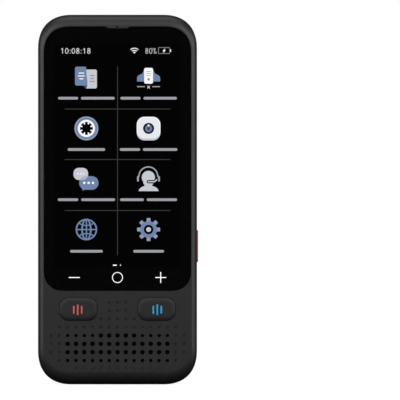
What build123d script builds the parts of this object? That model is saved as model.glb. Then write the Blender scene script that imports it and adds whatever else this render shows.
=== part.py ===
from build123d import *
from math import copysign, cos, radians, sin
import os

os.makedirs("parts", exist_ok=True)

# Handheld translator, in millimetres. X is the width, Y the depth and Z the length.
# The display faces -Y, the camera faces +Y, and the bottom end rests at Z = 0.

# ---- casing, driving dimensions
body_width = 63.0
body_height = 146.5
body_depth = 15.8
corner_reach = 13.2  # how far along each side a corner starts to ease round
corner_pull = 0.63  # share of the reach that its handles take; 0.55 is a plain arc
front_y = -body_depth / 2
back_y = body_depth / 2
parting_y = -3.3  # where the front and rear casings meet
side_wall = 1.7
end_wall = 1.9
back_wall = 1.6
cut_margin = 1.0  # how far a cut runs past the wall that it opens
inner_reach = 11.3

# the front edge rolls off over these widths, along a quarter ellipse
front_roll_side = 2.3
front_roll_top = 4.4
front_roll_bottom = 5.2
front_roll_depth = parting_y - front_y
front_corner_loss = 2.7

# the pillow back rolls off wider and deeper
rear_roll_start_y = -2.3
rear_roll_depth = back_y - rear_roll_start_y
rear_roll_side = 11.0
rear_roll_end = 9.0
rear_corner_loss = 8.7
inner_corner_loss = 7.9
roll_steps = 7
rib_z = (50.0, 71.0, 92.0)
rib_length = 38.0
rib_width = 0.8
rib_height = 1.2
rib_root = 0.4

# lip and snaps between the two casings
lip_height = 1.2
lip_inset = 0.85
lip_root = 0.5
rabbet_inset = 0.75
rabbet_depth = 1.3
lip_gap_length = 16.0
lip_gap_depth = 6.0
snap_width = 6.0
snap_y = -4.35
snap_pocket = 0.5
snap_pocket_height = 1.0
snap_play = 0.8
side_snap_z = (26.0, 70.0, 112.0)
end_snap_x = 15.0

# ---- cover glass and display
glass_half_width = 29.05
glass_bottom = 37.2
glass_top = 141.6
glass_reach_top = 10.2
glass_reach_bottom = 7.8
glass_thickness = 1.0
glass_gap = 0.12
glass_bevel = 0.12
tape_thickness = 0.1
notch_width = 9.0
notch_depth = 0.65
ledge_back_y = -5.9
window_half_width = 26.4
window_bottom = 40.6
window_top = 137.6
window_radius = 1.0
tape_inset = 0.5
tape_window_gap = 0.2
display_half_width = 25.7
display_bottom = 41.2
display_top = 136.0
display_radius = 0.5
display_thickness = 1.2
bond_thickness = 0.2
bond_inset = 0.3
backlight_bottom = 44.0
backlight_thickness = 1.4
backlight_radius = 1.0
backlight_bevel = 0.25
flex_thickness = 0.15
flex_bend = 0.8
display_flex_width = 14.0

# ---- talk keys and side key
talk_key_x = 15.48
talk_key_z = 30.0
talk_key_width = 14.9
talk_key_height = 9.15
talk_key_radius = 3.7
talk_key_proud = 0.8
talk_key_roll = 2.0
talk_key_gap = 0.13
talk_flange_grow = 0.9
talk_flange_thickness = 0.75
bar_spacing = 1.57
bar_width = 0.64
bar_length = 3.2
bar_length_middle = 4.3
bar_depth = 0.4
bar_shift = 0.25  # the bars stand this far outboard of the key's middle
bar_drop = 0.3  # and this far below it
power_key_z = 54.8
power_key_y = -0.6
power_key_length = 12.7
power_key_width = 2.4
power_key_proud = 0.5
power_key_gap = 0.1
key_pocket_x = 28.0
key_seat_x = 29.6
key_pocket_width = 4.2
key_pocket_play = 2.2

# ---- speaker grille: rows of round holes on a square pitch, with a fringe of shallow dots
grille_pitch = 3.286
grille_low_z = 9.6
large_hole = 0.92
small_hole = 0.68
dot_radius = 0.62
dot_depth = 0.3
lower_wall_back_y = -6.4
lower_pocket_half_width = 27.0
lower_pocket_bottom = 5.8
lower_pocket_top = 35.8
lower_pocket_radius = 4.0

# ---- camera, ports and microphones
camera_z = 130.0
camera_ring_radius = 5.8
camera_ring_gap = 0.05
camera_bore_radius = 4.45
camera_seat_depth = 1.2
camera_window_radius = 4.85
camera_aperture = 2.45
usb_y = 0.3
usb_width = 8.94
usb_height = 3.26
port_clearance = 0.18
port_depth = 3.5
front_mic_z = 141.35
top_mic_x = 5.0
top_mic_y = -0.9
top_mic_hole_depth = 4.0
mic_hole_radius = 0.5

# ---- chassis, boards and battery
frame_boss_radius = 1.3
frame_pilot_depth = 1.8
key_boss_radius = 1.6
key_pilot_depth = 2.3
key_rest_x = 25.3
key_rest_radius = 0.9
frame_front_y = -3.9
frame_thickness = 0.8
frame_half_width = 28.6
frame_bottom = 40.5
frame_top = 143.2
frame_corner = 8.0
frame_screw_x = 27.4
frame_screw_z = (45.0, 88.0, 132.0)
battery_half_width = 24.0
battery_bottom = 44.0
battery_top = 98.0
battery_thickness = 7.25
battery_corner = 1.5
battery_fold = 1.2
battery_lead_x = 8.0
tray_height = 3.0
tray_wall = 0.8
tray_gap = 0.4
tray_corner = 0.8
tray_gap_reach = 4.0
end_gap_width = 22.0
side_gap_width = 16.0
board_front_y = 0.4
board_thickness = 1.0
board_half_width = 27.5
board_bottom = 100.2
board_top = 142.3
board_corner = 8.5
board_post_radius = 2.0
board_pilot_depth = 3.0
board_screw_x = 24.0
board_screw_z = (103.5, 136.0)
key_board_front_y = -3.7
key_board_thickness = 0.8
key_board_half_width = 26.8
key_board_bottom = 23.4
key_board_top = 37.6
key_board_corner = 1.5
key_screw_z = (25.8, 34.2)
usb_board_thickness = 0.8
usb_board_half_width = 13.0
usb_board_bottom = 3.6
usb_board_top = 19.5
usb_board_corner = 1.0
usb_screw_x = 10.5
usb_screw_z = 15.5
usb_post_radius = 1.9
usb_pilot_depth = 2.6
post_root = 0.4
screw_shank = 0.68
screw_pilot = 0.7
screw_clearance = 0.8
screw_head = 1.25
screw_head_height = 0.6

frame_back_y = frame_front_y + frame_thickness
board_back_y = board_front_y + board_thickness
key_board_back_y = key_board_front_y + key_board_thickness
usb_board_front_y = usb_y + usb_height / 2
usb_board_back_y = usb_board_front_y + usb_board_thickness
inside_back_y = back_y - back_wall
battery_middle = (battery_bottom + battery_top) / 2
glass_back_y = front_y + glass_thickness
seat_y = glass_back_y + tape_thickness
panel_front_y = glass_back_y + bond_thickness
panel_back_y = panel_front_y + display_thickness
backlight_back_y = panel_back_y + backlight_thickness


def facing(y):
    """Plane across the casing at depth y, as seen from the front: X to the right, Z up."""
    return Plane.XZ.offset(-y)


def roll_off(step):
    """How far in and how deep a quarter-ellipse roll-off has gone at a step, each from 0 to 1."""
    angle = radians(90 * step / roll_steps)
    return 1 - cos(angle), sin(angle)


def eased_outline(half_width, bottom, top, reach_bottom, reach_top):
    """Upright outline on X = 0 whose corners ease into its straight sides, in the open sketch."""
    free = 1 - corner_pull
    with BuildLine() as outline:
        low = Bezier(
            (half_width - reach_bottom, bottom),
            (half_width - free * reach_bottom, bottom),
            (half_width, bottom + free * reach_bottom),
            (half_width, bottom + reach_bottom),
        )
        high = Bezier(
            (half_width, top - reach_top),
            (half_width, top - free * reach_top),
            (half_width - free * reach_top, top),
            (half_width - reach_top, top),
        )
        Line(low @ 1, high @ 0)
        mirror(about=Plane.YZ)
        Line((reach_bottom - half_width, bottom), low @ 0)
        Line(high @ 1, (reach_top - half_width, top))
    make_face(outline.edges())


def casing_outline(side, top, bottom, reach):
    """Casing outline drawn in by these amounts, in the open sketch."""
    eased_outline(body_width / 2 - side, bottom, body_height - top, reach, reach)


def block_outline(half_width, bottom, top, radius, mode=Mode.ADD):
    """Rounded rectangle centred on X = 0 between two heights, in the open sketch."""
    with Locations((0, (bottom + top) / 2)):
        RectangleRounded(2 * half_width, top - bottom, radius, mode=mode)


def glass_outline(grow):
    """Cover glass outline without its notch, enlarged by grow, in the open sketch."""
    eased_outline(
        glass_half_width + grow,
        glass_bottom - grow,
        glass_top + grow,
        glass_reach_bottom + grow,
        glass_reach_top + grow,
    )


def notch_outline(grow, mode=Mode.SUBTRACT):
    """Round-ended notch in the top edge of the glass, in the open sketch."""
    with Locations((0, glass_top + grow)):
        RectangleRounded(notch_width - 2 * grow, 2 * notch_depth, notch_depth - 0.01, mode=mode)


def cap_sphere_radius(radius, rise):
    """Radius of the sphere whose cap has this base radius and rise."""
    return (radius**2 + rise**2) / (2 * rise)


def finish(piece, name):
    """Label a finished piece and write it to its own file."""
    piece.part.label = name
    export_step(piece.part, f"parts/{name}.step")


# screw places
frame_screw_places = [(x, z) for x in (-frame_screw_x, frame_screw_x) for z in frame_screw_z]
board_screw_places = [(x, z) for x in (-board_screw_x, board_screw_x) for z in board_screw_z]
key_screw_places = [(0, z) for z in key_screw_z]
usb_screw_places = [(-usb_screw_x, usb_screw_z), (usb_screw_x, usb_screw_z)]

# places of the snaps round the casing: each turns the +X snap to its own side
snap_places = (
    [Location((body_width / 2 - side_wall, 0, z), (0, 0, 0)) for z in side_snap_z]
    + [Location((side_wall - body_width / 2, 0, z), (0, 180, 0)) for z in side_snap_z]
    + [Location((x, 0, body_height - end_wall), (0, -90, 0)) for x in (-end_snap_x, end_snap_x)]
    + [Location((x, 0, end_wall), (0, 90, 0)) for x in (-end_snap_x, end_snap_x)]
)

# grille rows, bottom first: number of small and large holes either side of the centre column
columns = range(-6, 7)
grille_rows = [
    [small_hole for column in columns],
    [large_hole for column in columns],
    [large_hole for column in columns],
    [large_hole if abs(column) <= 2 else small_hole for column in columns],
]
large_places = []
small_places = []
for row, radii in enumerate(grille_rows):
    for column, hole in zip(columns, radii):
        place = (column * grille_pitch, grille_low_z + row * grille_pitch)
        if hole == large_hole:
            large_places.append(place)
        else:
            small_places.append(place)

# fringe of shallow dots: row of the grille pitch, nearest and farthest column either side
dot_rows = (
    (-1, 0, 5),
    (0, 7, 7),
    (1, 7, 8),
    (2, 7, 8),
    (3, 7, 8),
    (4, 0, 7),
    (5, 0, 2),
    (6, 0, 1),
    (7, 0, 1),
)
dot_places = []
for row, nearest, farthest in dot_rows:
    for column in range(-farthest, farthest + 1):
        if abs(column) >= nearest:
            dot_places.append((column * grille_pitch, grille_low_z + row * grille_pitch))


# ---- front casing: rolled edge, glass seat, key openings, dotted grille, lip and screw bosses
with BuildPart() as front_housing:
    for step in range(roll_steps + 1):
        inset, reach = roll_off(step)
        with BuildSketch(facing(parting_y - front_roll_depth * reach)):
            casing_outline(
                front_roll_side * inset,
                front_roll_top * inset,
                front_roll_bottom * inset,
                corner_reach - front_corner_loss * inset,
            )
    loft()
    # lip that nests inside the rear casing
    with BuildSketch(facing(parting_y + lip_height)):
        casing_outline(lip_inset, lip_inset, lip_inset, corner_reach - lip_inset)
    extrude(amount=lip_height + lip_root)
    # hollow inside, then a shallower pocket behind the keys and the grille
    with BuildSketch(facing(parting_y + lip_height)):
        casing_outline(side_wall, end_wall, end_wall, inner_reach)
    extrude(amount=parting_y + lip_height - ledge_back_y, mode=Mode.SUBTRACT)
    with BuildSketch(facing(ledge_back_y)):
        block_outline(lower_pocket_half_width, lower_pocket_bottom, lower_pocket_top, lower_pocket_radius)
    extrude(amount=ledge_back_y - lower_wall_back_y, mode=Mode.SUBTRACT)
    # seat for the cover glass, and the window for the display
    with BuildSketch(facing(seat_y)):
        glass_outline(glass_gap)
        notch_outline(glass_gap)
    extrude(amount=seat_y - front_y, mode=Mode.SUBTRACT)
    with BuildSketch(facing(ledge_back_y)):
        block_outline(window_half_width, window_bottom, window_top, window_radius)
    extrude(amount=ledge_back_y - seat_y, mode=Mode.SUBTRACT)
    # openings for the two talk keys
    with BuildSketch(facing(lower_wall_back_y)):
        with Locations((-talk_key_x, talk_key_z), (talk_key_x, talk_key_z)):
            RectangleRounded(
                talk_key_width + 2 * talk_key_gap,
                talk_key_height + 2 * talk_key_gap,
                talk_key_radius + talk_key_gap,
            )
    extrude(amount=lower_wall_back_y - front_y, mode=Mode.SUBTRACT)
    # sound holes, and the shallow dots that fade out round them
    with BuildSketch(facing(lower_wall_back_y)):
        with Locations(large_places):
            Circle(large_hole)
        with Locations(small_places):
            Circle(small_hole)
    extrude(amount=lower_wall_back_y - front_y, mode=Mode.SUBTRACT)
    with BuildSketch(facing(front_y + dot_depth)):
        with Locations(dot_places):
            Circle(dot_radius)
    extrude(amount=dot_depth, mode=Mode.SUBTRACT)
    # microphone hole in the tab above the glass
    with BuildSketch(facing(ledge_back_y)):
        with Locations((0, front_mic_z)):
            Circle(mic_hole_radius)
    extrude(amount=ledge_back_y - front_y, mode=Mode.SUBTRACT)
    # bosses for the chassis and for the key board, and two rests beside the keys
    with BuildSketch(facing(frame_front_y)):
        with Locations(frame_screw_places):
            Circle(frame_boss_radius)
    extrude(amount=frame_front_y - ledge_back_y)
    with BuildSketch(facing(key_board_front_y)):
        with Locations(key_screw_places):
            Circle(key_boss_radius)
        with Locations((-key_rest_x, talk_key_z), (key_rest_x, talk_key_z)):
            Circle(key_rest_radius)
    extrude(amount=key_board_front_y - lower_wall_back_y)
    with BuildSketch(facing(frame_front_y)):
        with Locations(frame_screw_places):
            Circle(screw_pilot)
    extrude(amount=frame_pilot_depth, mode=Mode.SUBTRACT)
    with BuildSketch(facing(key_board_front_y)):
        with Locations(key_screw_places):
            Circle(screw_pilot)
    extrude(amount=key_pilot_depth, mode=Mode.SUBTRACT)
    # pockets that the snap tongues click into, and a gap in the lip for the side key
    with Locations(snap_places):
        with Locations((snap_pocket / 2, snap_y, 0)):
            Box(snap_pocket, snap_pocket_height, snap_width + snap_play, mode=Mode.SUBTRACT)
    with Locations((body_width / 2, parting_y + lip_height / 2, power_key_z)):
        Box(lip_gap_depth, lip_height, lip_gap_length, mode=Mode.SUBTRACT)
finish(front_housing, "front_housing")


# ---- one snap tongue, drawn for the +X side with the inside of the wall at X = 0
with BuildPart() as snap_tongue:
    with BuildSketch(Plane.XY.offset(-snap_width / 2)):
        with BuildLine():
            Polyline(
                (-1.0, -4.9),
                (-0.4, -4.9),
                (-0.1, -4.75),
                (0.28, -4.4),
                (0.28, -4.2),
                (-0.1, -3.95),
                (-0.1, -1.9),
                (0.8, -1.9),
                (0.8, -0.6),
                (-1.0, -1.2),
                close=True,
            )
        make_face()
    extrude(amount=snap_width)


# ---- rear casing: pillow back, camera seat, side key slot, ports and snap tongues
with BuildPart() as rear_housing:
    with BuildSketch(facing(rear_roll_start_y)):
        casing_outline(0, 0, 0, corner_reach)
    extrude(amount=rear_roll_start_y - parting_y)
    for step in range(roll_steps + 1):
        inset, reach = roll_off(step)
        with BuildSketch(facing(rear_roll_start_y + rear_roll_depth * reach)):
            casing_outline(
                rear_roll_side * inset,
                rear_roll_end * inset,
                rear_roll_end * inset,
                corner_reach - rear_corner_loss * inset,
            )
    loft()
    # hollow with an even wall, following the same roll-off
    with BuildSketch(facing(rear_roll_start_y)):
        casing_outline(side_wall, end_wall, end_wall, inner_reach)
    extrude(amount=rear_roll_start_y - parting_y, mode=Mode.SUBTRACT)
    for step in range(roll_steps + 1):
        inset, reach = roll_off(step)
        side = side_wall + (rear_roll_side - side_wall) * inset
        end = end_wall + (rear_roll_end - end_wall) * inset
        with BuildSketch(facing(rear_roll_start_y + (rear_roll_depth - back_wall) * reach)):
            casing_outline(side, end, end, inner_reach - inner_corner_loss * inset)
    loft(mode=Mode.SUBTRACT)
    # rabbet that takes the front casing's lip
    with BuildSketch(facing(parting_y + rabbet_depth)):
        casing_outline(rabbet_inset, rabbet_inset, rabbet_inset, corner_reach - rabbet_inset)
    extrude(amount=rabbet_depth, mode=Mode.SUBTRACT)
    with Locations(snap_places):
        add(snap_tongue.part)
    # cross ribs that stiffen the back behind the battery
    with Locations([(0, inside_back_y - (rib_height - rib_root) / 2, z) for z in rib_z]):
        Box(rib_length, rib_height + rib_root, rib_width)
    # camera seat and bore
    with BuildSketch(facing(back_y)):
        with Locations((0, camera_z)):
            Circle(camera_ring_radius + camera_ring_gap)
    extrude(amount=camera_seat_depth, mode=Mode.SUBTRACT)
    with BuildSketch(facing(back_y)):
        with Locations((0, camera_z)):
            Circle(camera_bore_radius)
    extrude(amount=back_wall + cut_margin, mode=Mode.SUBTRACT)
    # slot for the side key, and the flat pocket for its flange behind the wall
    with BuildSketch(Plane.YZ.offset(key_pocket_x)):
        with Locations((power_key_y, power_key_z)):
            SlotOverall(
                power_key_length + 2 * power_key_gap,
                power_key_width + 2 * power_key_gap,
                rotation=90,
            )
    extrude(amount=body_width / 2 + cut_margin - key_pocket_x, mode=Mode.SUBTRACT)
    with BuildSketch(Plane.YZ.offset(key_pocket_x)):
        with Locations((power_key_y, power_key_z)):
            Rectangle(key_pocket_width, power_key_length + key_pocket_play)
    extrude(amount=key_seat_x - key_pocket_x, mode=Mode.SUBTRACT)
    # charging port in the bottom end and microphone hole in the top end
    with BuildSketch(Plane.XY.offset(-cut_margin)):
        with Locations((0, usb_y)):
            SlotOverall(usb_width + 2 * port_clearance, usb_height + 2 * port_clearance)
    extrude(amount=cut_margin + port_depth, mode=Mode.SUBTRACT)
    with BuildSketch(Plane.XY.offset(body_height + cut_margin)):
        with Locations((top_mic_x, top_mic_y)):
            Circle(mic_hole_radius)
    extrude(amount=-(cut_margin + top_mic_hole_depth), mode=Mode.SUBTRACT)
    # two posts that carry the port's board
    with BuildSketch(facing(inside_back_y + post_root)):
        with Locations(usb_screw_places):
            Circle(usb_post_radius)
    extrude(amount=inside_back_y + post_root - usb_board_back_y)
    with BuildSketch(facing(usb_board_back_y + usb_pilot_depth)):
        with Locations(usb_screw_places):
            Circle(screw_pilot)
    extrude(amount=usb_pilot_depth, mode=Mode.SUBTRACT)
finish(rear_housing, "rear_housing")


# ---- cover glass, its tape and the clear bond to the display
with BuildPart() as cover_glass:
    with BuildSketch(facing(glass_back_y)):
        glass_outline(0)
    extrude(amount=glass_thickness)
    chamfer(cover_glass.faces().sort_by(Axis.Y)[0].edges(), glass_bevel)
    with BuildSketch(facing(glass_back_y)):
        notch_outline(0, Mode.ADD)
    extrude(amount=glass_thickness, mode=Mode.SUBTRACT)
finish(cover_glass, "cover_glass")

with BuildPart() as glass_adhesive:
    with BuildSketch(facing(seat_y)):
        glass_outline(-tape_inset)
        notch_outline(-tape_inset)
        block_outline(
            window_half_width + tape_window_gap,
            window_bottom - tape_window_gap,
            window_top + tape_window_gap,
            window_radius + tape_window_gap,
            Mode.SUBTRACT,
        )
    extrude(amount=tape_thickness)
finish(glass_adhesive, "glass_adhesive")

with BuildPart() as optical_adhesive:
    with BuildSketch(facing(panel_front_y)):
        block_outline(
            display_half_width - bond_inset,
            display_bottom + bond_inset,
            display_top - bond_inset,
            display_radius,
        )
    extrude(amount=bond_thickness)
finish(optical_adhesive, "optical_adhesive")


# ---- display: liquid crystal cell, backlight, and the flex that folds to the key board
with BuildPart() as display_panel:
    with BuildSketch(facing(panel_back_y)):
        block_outline(display_half_width, display_bottom, display_top, display_radius)
    extrude(amount=display_thickness)
finish(display_panel, "display_panel")

with BuildPart() as backlight_unit:
    with BuildSketch(facing(backlight_back_y)):
        block_outline(display_half_width, backlight_bottom, display_top, backlight_radius)
    extrude(amount=backlight_thickness)
    chamfer(backlight_unit.faces().sort_by(Axis.Y)[-1].edges(), backlight_bevel)
finish(backlight_unit, "backlight_unit")

with BuildPart() as display_flex:
    with BuildSketch(Plane.YZ.offset(-display_flex_width / 2)):
        with BuildLine():
            FilletPolyline(
                (panel_back_y + flex_thickness / 2, backlight_bottom - 0.3),
                (panel_back_y + flex_thickness / 2, 40.2),
                (key_board_front_y - flex_thickness / 2, 38.6),
                (key_board_front_y - flex_thickness / 2, 36.2),
                radius=flex_bend,
            )
        trace(line_width=flex_thickness)
    extrude(amount=display_flex_width)
finish(display_flex, "display_flex")


# ---- chassis plate behind the display: battery tray, board posts and screw holes
with BuildPart() as inner_frame:
    with BuildSketch(facing(frame_back_y)):
        block_outline(frame_half_width, frame_bottom, frame_top, frame_corner)
    extrude(amount=frame_thickness)
    with BuildSketch(facing(frame_back_y + tray_height)):
        for grow, mode in ((tray_gap + tray_wall, Mode.ADD), (tray_gap, Mode.SUBTRACT)):
            block_outline(
                battery_half_width + grow,
                battery_bottom - grow,
                battery_top + grow,
                tray_corner + grow,
                mode,
            )
    extrude(amount=tray_height)
    # gaps in the tray wall for fingers and for the battery's lead
    with BuildSketch(facing(frame_back_y + tray_height)):
        with Locations((0, battery_bottom), (battery_lead_x, battery_top)):
            Rectangle(end_gap_width, tray_gap_reach)
        with Locations((-battery_half_width, battery_middle), (battery_half_width, battery_middle)):
            Rectangle(tray_gap_reach, side_gap_width)
    extrude(amount=tray_height, mode=Mode.SUBTRACT)
    with BuildSketch(facing(board_front_y)):
        with Locations(board_screw_places):
            Circle(board_post_radius)
    extrude(amount=board_front_y - frame_back_y)
    with BuildSketch(facing(board_front_y)):
        with Locations(board_screw_places):
            Circle(screw_pilot)
    extrude(amount=board_pilot_depth, mode=Mode.SUBTRACT)
    with BuildSketch(facing(frame_back_y)):
        with Locations(frame_screw_places):
            Circle(screw_clearance)
    extrude(amount=frame_thickness, mode=Mode.SUBTRACT)
finish(inner_frame, "inner_frame")


# ---- battery pouch on its tape, with its lead to the main board
with BuildPart() as battery_cell:
    with BuildSketch(facing(frame_back_y + flex_thickness + battery_thickness)):
        block_outline(battery_half_width, battery_bottom, battery_top, battery_corner)
    extrude(amount=battery_thickness)
    fillet(battery_cell.faces().sort_by(Axis.Y)[-1].edges(), battery_fold)
finish(battery_cell, "battery_cell")

with BuildPart() as battery_tape:
    with BuildSketch(facing(frame_back_y + flex_thickness)):
        with Locations((-battery_half_width / 2, battery_middle), (battery_half_width / 2, battery_middle)):
            RectangleRounded(14.0, 44.0, 1.0)
    extrude(amount=flex_thickness)
finish(battery_tape, "battery_tape")

lead_cap_height = 1.4
plug_width = 8.0
plug_height = 1.3
plug_z = 105.0
with BuildPart() as battery_lead:
    with Locations((battery_lead_x, 1.0, battery_top + lead_cap_height / 2)):
        Box(14.0, 3.0, lead_cap_height)
    with BuildSketch(facing(board_back_y + flex_thickness)):
        with Locations((battery_lead_x, (battery_top + lead_cap_height + plug_z) / 2)):
            Rectangle(plug_width / 2, plug_z - battery_top - lead_cap_height + 1.0)
    extrude(amount=flex_thickness)
    with BuildSketch(facing(board_back_y + plug_height)):
        with Locations((battery_lead_x, plug_z)):
            RectangleRounded(plug_width, 3.0, 0.3)
    extrude(amount=plug_height)
finish(battery_lead, "battery_lead")


# ---- main board with its chips and two shield cans
with BuildPart() as main_board:
    with BuildSketch(facing(board_back_y)):
        with Locations((0, (board_bottom + board_top) / 2)):
            Rectangle(2 * board_half_width, board_top - board_bottom)
        fillet(vertices().group_by(Axis.Y)[-1], board_corner)
        with Locations(board_screw_places):
            Circle(screw_clearance, mode=Mode.SUBTRACT)
    extrude(amount=board_thickness)
finish(main_board, "main_board")

# centre X, centre Z, width and length of each can and chip
processor_can = (-9.0, 119.0, 24.0, 20.0)
radio_can = (16.0, 116.0, 14.0, 16.0)
front_chips = ((-14.0, 119.0, 12.0, 12.0), (-3.0, 119.0, 7.0, 10.0), (10.0, 112.0, 6.0, 6.0))
back_chips = ((16.0, 118.0, 8.0, 8.0), (-16.0, 128.0, 5.0, 5.0))
can_height = 1.6
can_sheet = 0.2
can_corner = 0.6
chip_height = 0.9


def shield_can(can, base_y, direction):
    """Drawn sheet-metal can open towards the board, standing off it in the given Y direction."""
    x, z, width, length = can
    with BuildPart() as shield:
        with BuildSketch(facing(base_y)):
            with Locations((x, z)):
                RectangleRounded(width, length, can_corner)
        extrude(amount=-direction * can_height)
        with BuildSketch(facing(base_y)):
            with Locations((x, z)):
                RectangleRounded(width - 2 * can_sheet, length - 2 * can_sheet, can_corner - can_sheet)
        extrude(amount=-direction * (can_height - can_sheet), mode=Mode.SUBTRACT)
    return shield


processor_shield = shield_can(processor_can, board_front_y, -1)
finish(processor_shield, "processor_shield")
radio_shield = shield_can(radio_can, board_back_y, 1)
finish(radio_shield, "radio_shield")

with BuildPart() as board_chips:
    for chips, low_y in ((front_chips, board_front_y), (back_chips, board_back_y + chip_height)):
        with BuildSketch(facing(low_y)):
            for x, z, width, length in chips:
                with Locations((x, z)):
                    Rectangle(width, length)
        extrude(amount=chip_height)
finish(board_chips, "board_chips")


# ---- key board with the two snap domes under the talk keys
with BuildPart() as key_board:
    with BuildSketch(facing(key_board_back_y)):
        block_outline(key_board_half_width, key_board_bottom, key_board_top, key_board_corner)
        with Locations(key_screw_places):
            Circle(screw_clearance, mode=Mode.SUBTRACT)
    extrude(amount=key_board_thickness)
finish(key_board, "key_board")

dome_radius = 3.0
dome_height = 0.35
dome_sphere = cap_sphere_radius(dome_radius, dome_height)
with BuildPart() as snap_domes:
    for x in (-talk_key_x, talk_key_x):
        with Locations((x, key_board_front_y - dome_height + dome_sphere, talk_key_z)):
            Sphere(dome_sphere)
        split(bisect_by=facing(key_board_front_y), keep=Keep.TOP)
finish(snap_domes, "snap_domes")


# ---- charging port: socket shell, tongue and its board
socket_mouth_z = 0.95
socket_depth = 6.3
socket_wall = 0.3
socket_end_z = socket_mouth_z + socket_depth
tongue_gap = 0.02
tongue_tip_z = 1.7
tongue_base_z = 6.0
tongue_width = 6.7
tongue_thickness = 0.7

with BuildPart() as usb_socket_shell:
    with BuildSketch(Plane.XY.offset(socket_mouth_z)):
        with Locations((0, usb_y)):
            SlotOverall(usb_width, usb_height)
            SlotOverall(usb_width - 2 * socket_wall, usb_height - 2 * socket_wall, mode=Mode.SUBTRACT)
    extrude(amount=socket_depth)
    with BuildSketch(Plane.XY.offset(socket_end_z)):
        with Locations((0, usb_y)):
            SlotOverall(usb_width, usb_height)
    extrude(amount=socket_wall)
finish(usb_socket_shell, "usb_socket_shell")

with BuildPart() as usb_socket_tongue:
    with BuildSketch(Plane.XY.offset(tongue_base_z)):
        with Locations((0, usb_y)):
            shrink = 2 * (socket_wall + tongue_gap)
            SlotOverall(usb_width - shrink, usb_height - shrink)
    extrude(amount=socket_end_z - tongue_base_z)
    with BuildSketch(Plane.XY.offset(tongue_tip_z)):
        with Locations((0, usb_y)):
            Rectangle(tongue_width, tongue_thickness)
    extrude(amount=tongue_base_z - tongue_tip_z)
finish(usb_socket_tongue, "usb_socket_tongue")

with BuildPart() as usb_board:
    with BuildSketch(facing(usb_board_back_y)):
        block_outline(usb_board_half_width, usb_board_bottom, usb_board_top, usb_board_corner)
        with Locations(usb_screw_places):
            Circle(screw_clearance, mode=Mode.SUBTRACT)
    extrude(amount=usb_board_thickness)
finish(usb_board, "usb_board")


# ---- loudspeaker behind the grille: mesh, gasket, frame, cone and magnet
speaker_half_width = 21.8
speaker_bottom = 7.2
speaker_top = 21.8
speaker_corner = 2.4
speaker_front_y = -5.7
speaker_back_y = -2.0
mesh_thickness = 0.1
mesh_inset = 0.2
gasket_width = 0.9
cone_recess = 0.7
cone_film = 0.15
cone_rise = 0.45
cone_seat = 1.1
cone_gap = 0.1
chamber_wall = 2.1
magnet_half_width = 8.0
magnet_inset = 3.3
magnet_height = 1.8
speaker_back_wall = 0.8


def speaker_outline(inset, mode=Mode.ADD):
    """Speaker outline drawn in by inset, in the open sketch."""
    block_outline(
        speaker_half_width - inset,
        speaker_bottom + inset,
        speaker_top - inset,
        max(speaker_corner - inset, speaker_corner / 2),
        mode,
    )


with BuildPart() as grille_mesh:
    with BuildSketch(facing(lower_wall_back_y + mesh_thickness)):
        speaker_outline(mesh_inset)
    extrude(amount=mesh_thickness)
finish(grille_mesh, "grille_mesh")

with BuildPart() as speaker_gasket:
    with BuildSketch(facing(speaker_front_y)):
        speaker_outline(0)
        speaker_outline(gasket_width, Mode.SUBTRACT)
    extrude(amount=speaker_front_y - lower_wall_back_y - mesh_thickness)
finish(speaker_gasket, "speaker_gasket")

with BuildPart() as speaker_frame:
    with BuildSketch(facing(speaker_back_y)):
        speaker_outline(0)
    extrude(amount=speaker_back_y - speaker_front_y)
    with BuildSketch(facing(speaker_front_y + cone_recess)):
        speaker_outline(cone_seat)
    extrude(amount=cone_recess, mode=Mode.SUBTRACT)
    with BuildSketch(facing(speaker_back_y - speaker_back_wall)):
        speaker_outline(chamber_wall)
    extrude(amount=speaker_back_y - speaker_back_wall - speaker_front_y, mode=Mode.SUBTRACT)
finish(speaker_frame, "speaker_frame")

with BuildPart() as speaker_cone:
    with BuildSketch(facing(speaker_front_y + cone_recess)):
        speaker_outline(cone_seat + cone_gap)
    extrude(amount=cone_film)
    with BuildSketch(facing(speaker_front_y + cone_recess - cone_film)):
        block_outline(16.0, 10.6, 18.4, 3.8)
    extrude(amount=cone_rise)
    fillet(speaker_cone.faces().sort_by(Axis.Y)[0].edges(), 0.2)
finish(speaker_cone, "speaker_cone")

with BuildPart() as speaker_magnet:
    with BuildSketch(facing(speaker_back_y - speaker_back_wall)):
        block_outline(magnet_half_width, speaker_bottom + magnet_inset, speaker_top - magnet_inset, 0.6)
    extrude(amount=magnet_height)
finish(speaker_magnet, "speaker_magnet")


# ---- microphones in their rubber boots, one behind the front tab and one in the top end
front_boot_back_y = frame_front_y - 0.05
front_boot_length = 1.9
front_capsule_radius = 1.3
front_capsule_length = 1.0
boot_front_wall = 0.6
top_boot_bottom = 141.5
top_boot_length = 2.5
top_capsule_radius = 0.9
top_capsule_length = 1.2
boot_end_wall = 1.1

with BuildPart() as front_microphone_boot:
    with BuildSketch(facing(front_boot_back_y)):
        with Locations((0, front_mic_z)):
            RectangleRounded(4.4, 3.6, 0.5)
            Circle(mic_hole_radius, mode=Mode.SUBTRACT)
    extrude(amount=front_boot_length)
    with BuildSketch(facing(front_boot_back_y)):
        with Locations((0, front_mic_z)):
            Circle(front_capsule_radius)
    extrude(amount=front_boot_length - boot_front_wall, mode=Mode.SUBTRACT)
finish(front_microphone_boot, "front_microphone_boot")

with BuildPart() as front_microphone:
    with BuildSketch(facing(front_boot_back_y - 0.1)):
        with Locations((0, front_mic_z)):
            Circle(front_capsule_radius)
    extrude(amount=front_capsule_length)
finish(front_microphone, "front_microphone")

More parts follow.
